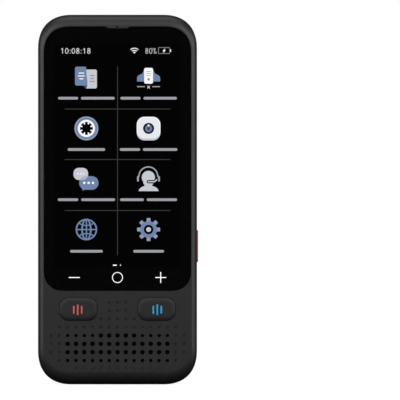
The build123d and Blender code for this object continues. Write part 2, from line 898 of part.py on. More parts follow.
with BuildPart() as top_microphone_boot:
    with BuildSketch(Plane.XY.offset(top_boot_bottom)):
        with Locations((top_mic_x, top_mic_y)):
            RectangleRounded(3.6, 2.3, 0.4)
            Circle(mic_hole_radius, mode=Mode.SUBTRACT)
    extrude(amount=top_boot_length)
    with BuildSketch(Plane.XY.offset(top_boot_bottom)):
        with Locations((top_mic_x, top_mic_y)):
            Circle(top_capsule_radius)
    extrude(amount=top_boot_length - boot_end_wall, mode=Mode.SUBTRACT)
finish(top_microphone_boot, "top_microphone_boot")

with BuildPart() as top_microphone:
    with BuildSketch(Plane.XY.offset(top_boot_bottom + 0.1)):
        with Locations((top_mic_x, top_mic_y)):
            Circle(top_capsule_radius)
    extrude(amount=top_capsule_length)
finish(top_microphone, "top_microphone")


# ---- rear camera: trim ring, window, black mask, lens, foam and module, all round one axis
camera_axis = Axis((0, 0, camera_z), (0, 1, 0))
camera_plane = Plane((0, 0, camera_z), x_dir=(1, 0, 0), z_dir=(0, 0, 1))
ring_seat_y = back_y - camera_seat_depth
ring_lip_radius = 4.2
ring_bevel = 0.2
ring_dish_width = 0.35
ring_dish_depth = 0.3
window_front_y = back_y - 0.2
window_thickness = 0.6
window_seat_y = window_front_y - window_thickness
mask_thickness = 0.15
barrel_top_y = 6.2
barrel_radius = 3.3
foam_length = 2.5
module_side = 8.8

with BuildPart() as camera_ring:
    with BuildSketch(camera_plane):
        with BuildLine():
            Polyline(
                (ring_lip_radius, ring_seat_y),
                (camera_ring_radius, ring_seat_y),
                (camera_ring_radius, back_y - ring_bevel),
                (camera_ring_radius - ring_bevel, back_y),
                (camera_window_radius + ring_dish_width, back_y),
                (camera_window_radius, back_y - ring_dish_depth),
                (camera_window_radius, window_seat_y),
                (ring_lip_radius, window_seat_y),
                close=True,
            )
        make_face()
    revolve(axis=camera_axis)
finish(camera_ring, "camera_ring")

with BuildPart() as camera_window:
    with BuildSketch(facing(window_front_y)):
        with Locations((0, camera_z)):
            Circle(camera_window_radius)
    extrude(amount=window_thickness)
finish(camera_window, "camera_window")

with BuildPart() as camera_mask:
    with BuildSketch(facing(window_seat_y)):
        with Locations((0, camera_z)):
            Circle(ring_lip_radius)
            Circle(camera_aperture, mode=Mode.SUBTRACT)
    extrude(amount=mask_thickness)
finish(camera_mask, "camera_mask")

lens_radius = 2.6
lens_rise = 0.55
lens_sphere = cap_sphere_radius(lens_radius, lens_rise)
with BuildPart() as camera_lens:
    with Locations((0, barrel_top_y + lens_rise - lens_sphere, camera_z)):
        Sphere(lens_sphere)
    split(bisect_by=facing(barrel_top_y), keep=Keep.BOTTOM)
finish(camera_lens, "camera_lens")

with BuildPart() as camera_gasket:
    with BuildSketch(facing(ring_seat_y)):
        with Locations((0, camera_z)):
            Circle(camera_bore_radius - 0.1)
            Circle(barrel_radius + 0.2, mode=Mode.SUBTRACT)
    extrude(amount=foam_length)
finish(camera_gasket, "camera_gasket")

with BuildPart() as camera_module:
    with BuildSketch(facing(ring_seat_y - foam_length)):
        with Locations((0, camera_z)):
            RectangleRounded(module_side, module_side, 0.5)
    extrude(amount=ring_seat_y - foam_length - board_back_y)
    with BuildSketch(facing(barrel_top_y)):
        with Locations((0, camera_z)):
            Circle(barrel_radius)
    extrude(amount=barrel_top_y - ring_seat_y + foam_length)
finish(camera_module, "camera_module")


# ---- side key, its switch and the bracket that holds it
key_flange_thickness = 0.7
key_flange_x = key_seat_x - 0.05 - key_flange_thickness
key_nub_x = 28.35
key_nub_radius = 0.9
key_edge = 0.35
switch_x = 26.5
switch_depth = 1.8
plunger_travel = 0.5
bracket_sheet = 0.35
bracket_length = 10.0

with BuildPart() as power_key:
    with BuildSketch(Plane.YZ.offset(key_flange_x)):
        with Locations((power_key_y, power_key_z)):
            RectangleRounded(key_pocket_width - 0.4, power_key_length + 1.6, 0.6)
    extrude(amount=key_flange_thickness)
    with BuildSketch(Plane.YZ.offset(key_flange_x + key_flange_thickness)):
        with Locations((power_key_y, power_key_z)):
            SlotOverall(power_key_length, power_key_width, rotation=90)
    extrude(amount=body_width / 2 + power_key_proud - key_flange_x - key_flange_thickness)
    fillet(power_key.faces().sort_by(Axis.X)[-1].edges(), key_edge)
    with BuildSketch(Plane.YZ.offset(key_nub_x)):
        with Locations((power_key_y, power_key_z)):
            Circle(key_nub_radius)
    extrude(amount=key_flange_x - key_nub_x)
finish(power_key, "power_key")

with BuildPart() as power_switch:
    with Locations((switch_x, power_key_y, power_key_z)):
        Box(switch_depth, 3.2, 6.0)
    with Locations((switch_x + (switch_depth + plunger_travel) / 2, power_key_y, power_key_z)):
        Box(plunger_travel, 1.2, 2.2)
finish(power_switch, "power_switch")

bracket_back_x = switch_x - switch_depth / 2
with BuildPart() as power_switch_bracket:
    with BuildSketch(Plane.XY.offset(power_key_z - bracket_length / 2)):
        with BuildLine():
            Polyline(
                (bracket_back_x - bracket_sheet, frame_back_y),
                (28.4, frame_back_y),
                (28.4, frame_back_y + bracket_sheet),
                (bracket_back_x, frame_back_y + bracket_sheet),
                (bracket_back_x, 1.2),
                (bracket_back_x - bracket_sheet, 1.2),
                close=True,
            )
        make_face()
    extrude(amount=bracket_length)
finish(power_switch_bracket, "power_switch_bracket")


# ---- talk keys: pillow cap on a retaining flange, inlaid bars, and a silicone pad behind
flange_back_y = lower_wall_back_y + 0.03 + talk_flange_thickness
pad_width = 12.0
pad_height = 7.0
pad_thickness = 0.5
pad_corner = 3.0
pad_stem_radius = 1.4
pad_stem_length = 0.35


def bar_sketch(x):
    """Three upright bars with round ends for the key at x, in the open sketch."""
    middle = x + copysign(bar_shift, x)
    with Locations((middle, talk_key_z - bar_drop)):
        SlotOverall(bar_length_middle, bar_width, rotation=90)
        with Locations((-bar_spacing, 0), (bar_spacing, 0)):
            SlotOverall(bar_length, bar_width, rotation=90)


def talk_key_outline(x, grow):
    """Talk key outline, enlarged by grow, in the open sketch."""
    with Locations((x, talk_key_z)):
        RectangleRounded(talk_key_width + 2 * grow, talk_key_height + 2 * grow, talk_key_radius + grow)


def talk_key_form(x):
    """Talk key before its bars are let in: flange, straight stem and rolled pillow front."""
    with BuildPart() as form:
        with BuildSketch(facing(flange_back_y)):
            talk_key_outline(x, talk_flange_grow)
        extrude(amount=talk_flange_thickness)
        with BuildSketch(facing(flange_back_y - talk_flange_thickness)):
            talk_key_outline(x, 0)
        extrude(amount=flange_back_y - talk_flange_thickness - front_y)
        for step in range(roll_steps + 1):
            inset, reach = roll_off(step)
            with BuildSketch(facing(front_y - talk_key_proud * reach)):
                talk_key_outline(x, -talk_key_roll * inset)
        loft()
    return form.part


def talk_key(x, name):
    """Make and write one talk key: cap, bars and pad."""
    form = talk_key_form(x)
    with BuildPart() as cap:
        add(form)
        with BuildSketch(facing(front_y - talk_key_proud + bar_depth)):
            bar_sketch(x)
        extrude(amount=bar_depth, mode=Mode.SUBTRACT)
    finish(cap, name)
    with BuildPart() as bars:
        with BuildSketch(facing(front_y - talk_key_proud + bar_depth)):
            bar_sketch(x)
        extrude(amount=bar_depth)
    finish(bars, name + "_bars")
    with BuildPart() as pad:
        with BuildSketch(facing(flange_back_y + pad_thickness)):
            with Locations((x, talk_key_z)):
                RectangleRounded(pad_width, pad_height, pad_corner)
        extrude(amount=pad_thickness)
        with BuildSketch(facing(flange_back_y + pad_thickness + pad_stem_length)):
            with Locations((x, talk_key_z)):
                Circle(pad_stem_radius)
        extrude(amount=pad_stem_length)
    finish(pad, name + "_pad")


talk_key(-talk_key_x, "talk_key_left")
talk_key(talk_key_x, "talk_key_right")


# ---- flex that links the key board to the main board over the battery, and the antenna
link_flex_left = -18.0
link_flex_width = 8.0
link_flex_y = 4.6
antenna_x = -10.0
antenna_z = 112.0
antenna_width = 18.0
antenna_length = 12.0
antenna_slit = 0.8

with BuildPart() as link_flex:
    with BuildSketch(Plane.YZ.offset(link_flex_left)):
        with BuildLine():
            FilletPolyline(
                (key_board_back_y + flex_thickness / 2, 27.0),
                (key_board_back_y + flex_thickness / 2, 41.6),
                (link_flex_y, 41.6),
                (link_flex_y, 99.6),
                (board_back_y + flex_thickness / 2, 101.6),
                (board_back_y + flex_thickness / 2, 107.0),
                radius=flex_bend,
            )
        trace(line_width=flex_thickness)
    extrude(amount=link_flex_width)
finish(link_flex, "link_flex")

with BuildPart() as radio_antenna:
    with BuildSketch(facing(inside_back_y)):
        with Locations((antenna_x, antenna_z)):
            RectangleRounded(antenna_width, antenna_length, 1.0)
        with Locations((antenna_x - 2.0, antenna_z - 2.0), (antenna_x + 2.0, antenna_z + 2.0)):
            Rectangle(antenna_width - 4.0, antenna_slit, mode=Mode.SUBTRACT)
    extrude(amount=flex_thickness)
finish(radio_antenna, "radio_antenna")


# ---- screws: identical self-tapping screws, chassis set and board set
def screws(places, seat, length, direction):
    """Screws whose heads stand off depth seat in direction and whose shanks go the other way."""
    with BuildPart() as group:
        with BuildSketch(facing(seat)):
            with Locations(places):
                Circle(screw_head)
        extrude(amount=-direction * screw_head_height)
        with BuildSketch(facing(seat)):
            with Locations(places):
                Circle(screw_shank)
        extrude(amount=direction * length)
    return group.part


with BuildPart() as frame_screws:
    add(screws(frame_screw_places, frame_back_y, 2.5, 1))
    add(screws(key_screw_places, key_board_back_y, 3.0, 1))
finish(frame_screws, "frame_screws")

with BuildPart() as board_screws:
    add(screws(board_screw_places, board_back_y, 3.6, 1))
    add(screws(usb_screw_places, usb_board_front_y, 3.0, -1))
finish(board_screws, "board_screws")
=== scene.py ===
"""Looks of the handheld translator: camera, finishes, printed glass, lit menu and soft studio light."""

from math import cos, pi, radians, sin, sqrt

import bmesh
import bpy
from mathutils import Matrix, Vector
from mathutils.geometry import interpolate_bezier


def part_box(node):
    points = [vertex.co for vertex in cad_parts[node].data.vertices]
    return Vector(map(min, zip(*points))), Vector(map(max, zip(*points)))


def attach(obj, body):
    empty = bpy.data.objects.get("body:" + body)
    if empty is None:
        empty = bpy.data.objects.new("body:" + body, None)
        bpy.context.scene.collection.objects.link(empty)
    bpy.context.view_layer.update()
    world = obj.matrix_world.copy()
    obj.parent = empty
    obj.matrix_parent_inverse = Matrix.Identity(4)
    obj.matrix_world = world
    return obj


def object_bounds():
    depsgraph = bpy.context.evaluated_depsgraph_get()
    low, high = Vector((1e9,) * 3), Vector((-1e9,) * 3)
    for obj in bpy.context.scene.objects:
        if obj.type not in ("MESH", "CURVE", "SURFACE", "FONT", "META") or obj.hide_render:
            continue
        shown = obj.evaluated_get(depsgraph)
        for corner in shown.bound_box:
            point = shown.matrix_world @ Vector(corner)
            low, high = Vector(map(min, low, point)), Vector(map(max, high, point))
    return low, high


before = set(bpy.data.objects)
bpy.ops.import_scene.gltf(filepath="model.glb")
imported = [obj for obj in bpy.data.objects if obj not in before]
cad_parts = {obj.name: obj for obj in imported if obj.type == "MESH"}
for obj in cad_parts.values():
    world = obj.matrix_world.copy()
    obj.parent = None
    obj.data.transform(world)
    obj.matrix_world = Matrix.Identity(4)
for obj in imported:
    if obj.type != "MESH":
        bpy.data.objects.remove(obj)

cad_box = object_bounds()
scene = bpy.context.scene
scene.view_settings.view_transform = "Standard"

MM = 0.001  # sizes on the object are in millimetres; the camera's and the studio's are in metres
FULL_WHITE = (1, 1, 1, 1)


# ---- camera: level with the middle of the casing, straight in front

camera_distance = 1.9
camera_height = 0.07308
frame_width = 0.1586  # what the picture's width covers at the casing's widest outline
outline_y = -0.0028  # depth of that outline
sensor_width = 36.0
side_shift = 0.20625  # the casing stands in the left half of the picture
sight = 50  # how far it sees, past all of the studio

eye = bpy.data.objects.new("camera", bpy.data.cameras.new("camera"))
scene.collection.objects.link(eye)
eye.location = (0, outline_y - camera_distance, camera_height)
eye.rotation_euler = (radians(90), 0, 0)
eye.data.sensor_width = sensor_width
eye.data.lens = sensor_width * camera_distance / frame_width
eye.data.shift_x = side_shift
eye.data.clip_end = sight
scene.camera = eye


# ---- colours and shader nodes: made is the material or world whose nodes are added to

def tone(red, green=None, blue=None):
    """A screen colour, 0 to 255, as the linear colour that shaders take. One number is a grey."""
    levels = (red, red if green is None else green, red if blue is None else blue)
    linear = []
    for level in levels:
        share = level / 255
        linear.append(share / 12.92 if share <= 0.04045 else ((share + 0.055) / 1.055) ** 2.4)
    return (*linear, 1.0)


def principled(made):
    return made.node_tree.nodes["Principled BSDF"]


def material(name, colour, roughness, **sockets):
    """A Principled material whose constant values sit on the shader's own sockets."""
    made = bpy.data.materials.new(name)
    made.use_nodes = True
    shader = principled(made)
    shader.inputs["Base Color"].default_value = colour
    shader.inputs["Roughness"].default_value = roughness
    for socket, value in sockets.items():
        shader.inputs[socket.replace("_", " ")].default_value = value
    return made


def add_node(made, kind, **settings):
    """A node of that kind. A setting goes to the socket of that name, or else to the node itself."""
    node = made.node_tree.nodes.new("ShaderNode" + kind)
    for key, value in settings.items():
        socket = key.replace("_", " ")
        if socket in node.inputs:
            node.inputs[socket].default_value = value
        else:
            setattr(node, key, value)
    return node


def link(made, source, target):
    made.node_tree.links.new(source, target)


def feed(made, value, target):
    """Gives a socket its value, which is a constant or another socket."""
    if hasattr(value, "is_output"):
        link(made, value, target)
    else:
        target.default_value = value


def combine(made, operation, *values):
    """The result of that operation on sockets and numbers, as a socket."""
    node = add_node(made, "Math", operation=operation)
    for value, target in zip(values, node.inputs):
        feed(made, value, target)
    return node.outputs["Value"]


def position(made):
    """The point's place in the frame, in metres."""
    return add_node(made, "TexCoord").outputs["Object"]


def split_axes(made, source):
    """The three numbers of a vector socket, by name."""
    node = add_node(made, "SeparateXYZ")
    link(made, source, node.inputs["Vector"])
    return node.outputs


def place(made, stretch=(1, 1, 1)):
    """The point's place, stretched along each axis."""
    mapping = add_node(made, "Mapping", Scale=stretch)
    link(made, position(made), mapping.inputs["Vector"])
    return mapping.outputs["Vector"]


def noise(made, size, stretch=(1, 1, 1), detail=2.0):
    """Noise from 0 to 1, whose grains are about size millimetres across."""
    node = add_node(made, "TexNoise", Scale=1 / (size * MM), Detail=detail)
    link(made, place(made, stretch), node.inputs["Vector"])
    return node.outputs["Fac"]


def bands(made, direction, pitch):
    """Smooth bands from 0 to 1 across an axis, with that pitch in millimetres."""
    wave = add_node(made, "TexWave", Scale=pi / (10 * pitch * MM), bands_direction=direction)
    link(made, place(made), wave.inputs["Vector"])
    return wave.outputs["Fac"]


def ranged(made, source, low, high, start=0.3, end=0.7):
    """The source between start and end, mapped to low and high. Noise rarely leaves 0.3 to 0.7."""
    node = add_node(made, "MapRange", From_Min=start, From_Max=end, To_Min=low, To_Max=high)
    link(made, source, node.inputs["Value"])
    return node.outputs["Result"]


def blend_colours(made, share, first, second):
    """A colour between first and second, each a colour or a socket."""
    node = add_node(made, "Mix", data_type="RGBA")
    feed(made, share, node.inputs["Factor"])
    # the node names its colour sockets like those for numbers and vectors, so they go by their place
    colour_inputs = node.inputs[6:8]
    colour_output = node.outputs[2]
    for colour, target in zip((first, second), colour_inputs):
        feed(made, colour, target)
    return colour_output


def paint(made, colour):
    link(made, colour, principled(made).inputs["Base Color"])


def mottle(made, size, darkest, lightest, stretch=(1, 1, 1)):
    """Base colour that drifts between two tones."""
    share = ranged(made, noise(made, size, stretch), 0, 1)
    paint(made, blend_colours(made, share, darkest, lightest))


def vary_roughness(made, size, smoothest, roughest, stretch=(1, 1, 1)):
    drift = noise(made, size, stretch)
    link(made, ranged(made, drift, smoothest, roughest), principled(made).inputs["Roughness"])


def emboss(made, height, depth):
    """Bump of a height socket, depth millimetres high."""
    bump = add_node(made, "Bump", Distance=depth * MM)
    link(made, height, bump.inputs["Height"])
    link(made, bump.outputs["Normal"], principled(made).inputs["Normal"])


# ---- finishes: sizes of grain, drift and bump in millimetres

def moulded(name, darkest, lightest, smoothest, roughest, grain=0.22, depth=0.006, **sockets):
    """Spark-eroded injection moulding: fine pebbled grain with slow drifts of tone and sheen."""
    tone_drift = 3.0
    sheen_drift = 1.1
    made = material(name, lightest, roughest, **sockets)
    mottle(made, tone_drift, darkest, lightest)
    vary_roughness(made, sheen_drift, smoothest, roughest)
    emboss(made, noise(made, grain, detail=3.0), depth)
    return made


def paint_pit_shade(made, shallowest=0.1, half_width=27.5, bottom=8.2, top=33.5):
    """Painted shade: near-black in the grille's dots and holes, all that lies behind the face within these
    bounds.
    """
    face_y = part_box("front_housing")[0].y
    axes = split_axes(made, position(made))
    deep = combine(made, "GREATER_THAN", axes["Y"], face_y + shallowest * MM)
    central = combine(made, "LESS_THAN", combine(made, "ABSOLUTE", axes["X"]), half_width * MM)
    above = combine(made, "GREATER_THAN", axes["Z"], bottom * MM)
    below = combine(made, "LESS_THAN", axes["Z"], top * MM)
    inside = deep
    for test in (central, above, below):
        inside = combine(made, "MULTIPLY", inside, test)
    surface = principled(made).inputs["Base Color"].links[0].from_socket
    paint(made, blend_colours(made, inside, surface, tone(2)))
    return made


def soft_rubber(name, darkest, lightest):
    """Moulded silicone, dull and slightly dusty."""
    made = material(name, lightest, 0.7)
    mottle(made, 1.5, darkest, lightest)
    emboss(made, noise(made, 0.3), 0.01)
    return made


def sheet_metal(name, darkest, lightest, smoothest, roughest, brushed=(1, 1, 12)):
    """Stamped or machined metal, with fine lines along one axis."""
    made = material(name, lightest, roughest, Metallic=1.0)
    mottle(made, 0.5, darkest, lightest, brushed)
    vary_roughness(made, 0.4, smoothest, roughest, brushed)
    emboss(made, noise(made, 0.12, brushed), 0.003)
    return made


def copper_film(name):
    """Amber flex film with darker tracks under it."""
    made = material(name, tone(150, 84, 30), 0.35)
    tracks = add_node(made, "TexWave", Scale=420.0, Distortion=1.2)  # about 0.75 mm apart
    link(made, place(made), tracks.inputs["Vector"])
    share = ranged(made, tracks.outputs["Fac"], 0, 1, 0.45, 0.55)
    paint(made, blend_colours(made, share, tone(96, 48, 18), tone(158, 92, 36)))
    emboss(made, tracks.outputs["Fac"], 0.01)
    return made


def circuit_board(name):
    """Solder mask over copper fields about 1.4 mm across, with paler grooves between them."""
    made = material(name, tone(18, 74, 46), 0.35)
    cells = add_node(made, "TexVoronoi", Scale=700.0, feature="DISTANCE_TO_EDGE", distance="MANHATTAN")
    link(made, place(made), cells.inputs["Vector"])
    share = ranged(made, cells.outputs["Distance"], 0, 1, 0.03, 0.06)
    paint(made, blend_colours(made, share, tone(34, 104, 62), tone(14, 62, 40)))
    emboss(made, share, 0.02)
    return made


def open_foam(name):
    """Cellular foam, with a pit in each cell of about 0.4 mm, its middle darkened as painted shade."""
    made = material(name, tone(24), 0.95)
    cells = add_node(made, "TexVoronoi", Scale=2600.0)
    link(made, place(made), cells.inputs["Vector"])
    share = ranged(made, cells.outputs["Distance"], 0, 1, 0.1, 0.6)
    paint(made, blend_colours(made, share, tone(10), tone(34)))
    emboss(made, share, 0.05)
    return made


def woven_mesh(name, pitch=0.32):
    """Black woven dust mesh: crossed threads, with painted shade in the gaps between them."""
    made = material(name, tone(10), 0.8, Specular_IOR_Level=0.15)
    threads = combine(made, "MAXIMUM", bands(made, "X", pitch), bands(made, "Z", pitch))
    share = ranged(made, threads, 0, 1, 0.55, 0.95)
    paint(made, blend_colours(made, share, tone(2), tone(14)))
    emboss(made, share, 0.06)
    return made


def clear_glass(name, smear=0.012):
    """Polished glass with barely uneven polish."""
    made = material(name, FULL_WHITE, 0.0, Transmission_Weight=1.0, IOR=1.5)
    vary_roughness(made, 7.0, 0.0, smear)
    return made


def black_print(name, grey, glow=tone(0)):
    """Screen-printed ink behind glass. Glow stands in for the lamp light that the glass keeps off it."""
    made = material(name, tone(grey), 0.6, Specular_IOR_Level=0.0, Emission_Color=glow, Emission_Strength=1.0)
    mottle(made, 0.3, tone(grey - 1), tone(grey + 1))
    return made


def foil(name):
    """Crinkled silver pouch of the battery."""
    made = material(name, tone(176), 0.35, Metallic=0.9)
    mottle(made, 6.0, tone(150), tone(196))
    emboss(made, noise(made, 3.5, detail=4.0), 0.12)
    return made


def coated_lens(name):
    """Camera element whose coating throws blue at its middle and violet round it."""
    made = material(name, tone(10, 14, 40), 0.04, IOR=1.85, Specular_Tint=tone(150, 180, 255))
    lens_low, lens_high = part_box("camera_lens")
    distance = add_node(made, "VectorMath", operation="DISTANCE")
    link(made, position(made), distance.inputs[0])
    distance.inputs[1].default_value = (lens_low + lens_high) / 2
    radius = (lens_high.x - lens_low.x) / 2
    coating = add_node(made, "ValToRGB")
    link(made, ranged(made, distance.outputs["Value"], 0, 1, 0, radius), coating.inputs["Fac"])
    stops = (
        (0.0, tone(24, 40, 150)),
        (0.45, tone(14, 20, 96)),
        (0.75, tone(40, 18, 66)),
        (1.0, tone(12, 10, 18)),
    )
    ramp = coating.color_ramp.elements
    while len(ramp) < len(stops):
        ramp.new(0.5)
    for stop, (share, colour) in zip(ramp, stops):
        stop.position = share
        stop.color = colour
    paint(made, coating.outputs["Color"])
    return made


def lit(name, colour, level=1.0, pixel=0.0778, contrast=0.1):
    """Lit picture or symbol of that radiance, broken up by the panel's fine pixel grid."""
    made = material(name, tone(0), 0.5, Emission_Color=colour, Specular_IOR_Level=0.0)
    dimmest = (1 - contrast) * sqrt(level)
    brightest = (1 + contrast) * sqrt(level)
    columns = ranged(made, bands(made, "X", pixel), dimmest, brightest, 0, 1)
    rows = ranged(made, bands(made, "Z", pixel), dimmest, brightest, 0, 1)
    link(made, combine(made, "MULTIPLY", columns, rows), principled(made).inputs["Emission Strength"])
    return made


# one finish for each material slot; the numbers after the two tones are the smoothest and roughest spots
finishes = {
    # the front casing's plastic carries painted shade, near-black, in the grille's dots and holes
    "casing_plastic": paint_pit_shade(moulded("casing_plastic", tone(22), tone(25), 0.42, 0.5)),
    # the back's plastic is the front's, with its tone painted a little lighter for the brighter light on the
    # back
    "casing_plastic_rear": moulded("casing_plastic_rear", tone(26), tone(30), 0.36, 0.44),
    "key_plastic": moulded("key_plastic", tone(34), tone(37), 0.5, 0.58, Specular_IOR_Level=0.25),
    "bars_red": moulded("bars_red", tone(196, 88, 80), tone(208, 100, 90), 0.4, 0.5, depth=0.002),
    "bars_blue": moulded("bars_blue", tone(22, 152, 208), tone(32, 166, 222), 0.4, 0.5, depth=0.002),
    "power_key_red": moulded("power_key_red", tone(196, 34, 30), tone(210, 42, 36), 0.3, 0.4, depth=0.003),
    "cover_glass": clear_glass("cover_glass"),
    "camera_window": clear_glass("camera_window", smear=0.004),
    "camera_ring": moulded(
        "camera_ring", tone(30, 29, 34), tone(36, 35, 40), 0.46, 0.52,
        grain=0.12, depth=0.002, Specular_IOR_Level=0.3,
    ),
    # the camera mask's glow is painted light, standing in for the lamp light that the window keeps off it
    "camera_mask": black_print("camera_mask", 46, glow=tone(24, 23, 27)),
    "camera_lens": coated_lens("camera_lens"),
    "black_tape": open_foam("black_tape"),
    "black_foam": open_foam("black_foam"),
    "black_mesh": woven_mesh("black_mesh"),
    "clear_bond": clear_glass("clear_bond", smear=0.02),
    "display": black_print("display", 10),
    "sheet_steel": sheet_metal("sheet_steel", tone(150), tone(178), 0.25, 0.4),
    "socket_steel": sheet_metal("socket_steel", tone(168), tone(192), 0.18, 0.3),
    "screw_steel": sheet_metal("screw_steel", tone(96), tone(128), 0.25, 0.4, brushed=(1, 1, 1)),
    "frame_metal": sheet_metal("frame_metal", tone(128), tone(150), 0.4, 0.55, brushed=(6, 6, 1)),
    "flex_film": copper_film("flex_film"),
    "board_green": circuit_board("board_green"),
    "chip_epoxy": moulded("chip_epoxy", tone(24), tone(32), 0.5, 0.6),
    "inner_plastic": moulded("inner_plastic", tone(28), tone(36), 0.5, 0.6),
    "battery_foil": foil("battery_foil"),
    "speaker_film": moulded("speaker_film", tone(18), tone(24), 0.3, 0.4),
    "silicone": soft_rubber("silicone", tone(40), tone(54)),
}
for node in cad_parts.values():
    for holder in node.material_slots:
        holder.material = finishes[holder.material.name]


# ---- flat outlines, seen from the front, in millimetres: x to the right and z up

def arc(x, z, radius, start, end, steps=24, squeeze=1.0):
    """Points round a circle between two angles in degrees. Squeeze narrows it across."""
    angles = [radians(start + (end - start) * step / steps) for step in range(steps + 1)]
    return [(x + squeeze * radius * cos(angle), z + radius * sin(angle)) for angle in angles]


def disc(x, z, radius, squeeze=1.0, steps=48):
    return arc(x, z, radius, 0, 360, steps, squeeze)[:-1]


def block(left, bottom, right, top, radius):
    """A rounded rectangle. The radius is less than half of its shorter side."""
    corners = (
        (right - radius, top - radius, 0),
        (left + radius, top - radius, 90),
        (left + radius, bottom + radius, 180),
        (right - radius, bottom + radius, 270),
    )
    points = []
    for x, z, start in corners:
        points += arc(x, z, radius, start, start + 90, 8)
    return points


def eased_corner(x, z, across, up, pull=0.63):
    """A corner at (x, z) from its upright side to its level side, which eases in over these lengths.

    Pull is the share of a length that its handle takes, as on the casing.
    """
    free = 1 - pull
    knots = ((x, z + up), (x, z + free * up), (x + free * across, z), (x + across, z))
    return [tuple(point) for point in interpolate_bezier(*[Vector(knot) for knot in knots], 16)]


def pill(x, z, width, height):
    """A bar with round ends, about its middle."""
    parting = 0.001  # keeps the ends of block's corners apart
    radius = min(width, height) / 2 - parting
    return block(x - width / 2, z - height / 2, x + width / 2, z + height / 2, radius)


def stroke(x0, z0, x1, z1, width):
    """A straight line with round ends."""
    along = Vector((x1 - x0, z1 - z0)).normalized()
    heading = Vector((1, 0)).angle_signed(along) * -180 / pi
    far_end = arc(x1, z1, width / 2, heading - 90, heading + 90, 8)
    near_end = arc(x0, z0, width / 2, heading + 90, heading + 270, 8)
    return far_end + near_end


def bow(x, z, radius, width, start, end):
    """A curved line with round ends."""
    half = width / 2
    outer = arc(x, z, radius + half, start, end)
    inner = arc(x, z, radius - half, end, start)
    last = (x + radius * cos(radians(end)), z + radius * sin(radians(end)))
    first = (x + radius * cos(radians(start)), z + radius * sin(radians(start)))
    last_cap = arc(*last, half, end, end + 180, 6)
    first_cap = arc(*first, half, start + 180, start + 360, 6)
    return outer[:-1] + last_cap[:-1] + inner[:-1] + first_cap[:-1]


def cog(x, z, tip, root, teeth, share, taper):
    """A wheel with teeth. Share is a tooth's part of the pitch, and taper what its tip keeps of that."""
    pitch = 360 / teeth
    half = pitch * share / 2
    points = []
    for tooth in range(teeth):
        middle = 90 + tooth * pitch
        points += arc(x, z, tip, middle - half * taper, middle + half * taper, 3)
        points += arc(x, z, root, middle + half, middle + pitch - half, 5)
    return points


def cloud(x, z, puffs, steps=60):
    """A flat-bottomed cloud: the upper outline of a row of discs, each (x, z, radius), over a floor at z."""
    left = min(px - radius for px, pz, radius in puffs)
    right = max(px + radius for px, pz, radius in puffs)
    slack = 1e-6  # for rounding, so that the outermost points still count as on their discs
    points = [(x + right, z)]
    for step in range(steps + 1):
        at = (right + left) / 2 + (right - left) / 2 * cos(pi * step / steps)
        tops = []
        for px, pz, radius in puffs:
            rise = radius**2 - (at - px) ** 2
            if rise > -slack:
                tops.append(pz + sqrt(max(rise, 0)))
        points.append((x + at, z + max(tops)))
    return [*points, (x + left, z)]


# ---- thin solids inside the back of the glass, in millimetres: printed border, menu and touch symbols

glass_low, glass_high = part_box("cover_glass")
print_gap = 0.005  # from the glass's back face to the back of the print
print_thickness = 0.02
layer_step = 0.012  # how much further forward each layer reaches
print_back = glass_high.y / MM - print_gap
print_front = print_back - print_thickness


def add_solid(mesh, loops, front, finish):
    """A flat solid from the print's back to its front. The first loop is its outline, the others holes."""
    rims = []
    for depth in (front, print_back):
        corners = [[mesh.verts.new((x * MM, depth * MM, z * MM)) for x, z in loop] for loop in loops]
        edges = [
            mesh.edges.new((first, second))
            for ring in corners
            for first, second in zip(ring, ring[1:] + ring[:1])
        ]
        filled = bmesh.ops.triangle_fill(mesh, use_beauty=True, edges=edges)
        for face in filled["geom"]:
            if isinstance(face, bmesh.types.BMFace):
                face.material_index = finish
        rims.append(corners)
    for near, far in zip(*rims):
        for k in range(len(near)):
            j = (k + 1) % len(near)
            mesh.faces.new((near[k], near[j], far[j], far[k])).material_index = finish


def picture(name, shapes):
    """One piece of flat shapes, each (layer, material, outline, holes...). Higher layers lie in front."""
    mesh = bmesh.new()
    finish_names = sorted({shape[1].name for shape in shapes})
    for layer, finish, *loops in shapes:
        add_solid(mesh, loops, print_front - layer * layer_step, finish_names.index(finish.name))
    bmesh.ops.recalc_face_normals(mesh, faces=mesh.faces)
    data = bpy.data.meshes.new(name)
    mesh.to_mesh(data)
    mesh.free()
    for finish_name in finish_names:
        data.materials.append(bpy.data.materials[finish_name])
    piece = bpy.data.objects.new(name, data)
    scene.collection.objects.link(piece)
    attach(piece, "casing")


# lit colours of the menu; bright is for fine marks, which are lit harder than the pictures
bright = lit("lit_bright", tone(252, 252, 255), level=1.4)
white = lit("lit_white", tone(252, 252, 255))
pearl = lit("lit_pearl", tone(236, 238, 243))
soft_white = lit("lit_soft_white", tone(208, 209, 213))
pale = lit("lit_pale", tone(203, 206, 212))
slate = lit("lit_slate", tone(113, 135, 172))
steel_blue = lit("lit_steel_blue", tone(146, 158, 182))
mist = lit("lit_mist", tone(162, 168, 180))
lilac = lit("lit_lilac", tone(176, 180, 210))
dusk = lit("lit_dusk", tone(116, 124, 152))
navy = lit("lit_navy", tone(62, 74, 112))
grey = lit("lit_grey", tone(142, 144, 148))
word_grey = lit("lit_word_grey", tone(160, 162, 168))
line_grey = lit("lit_line_grey", tone(56))
dark = lit("lit_dark", tone(22, 28, 42))
unlit = black_print("unlit", 2)
border_ink = black_print("border_ink", 8)

# the printed border follows the glass just inside its edge, and the display's own black fills its window
print_inset = 0.06
glass_right = glass_high.x / MM - print_inset
glass_bottom = glass_low.z / MM + print_inset
glass_top = glass_high.z / MM - print_inset
reach_top = 10.2 - print_inset  # the length over which a corner eases in
reach_bottom = 7.8 - print_inset
notch_half_width = 4.5 + print_inset
notch_depth = 0.65
screen_half_width = 24.9
screen_bottom = 46.5
screen_top = 135.0
screen_radius = 0.3

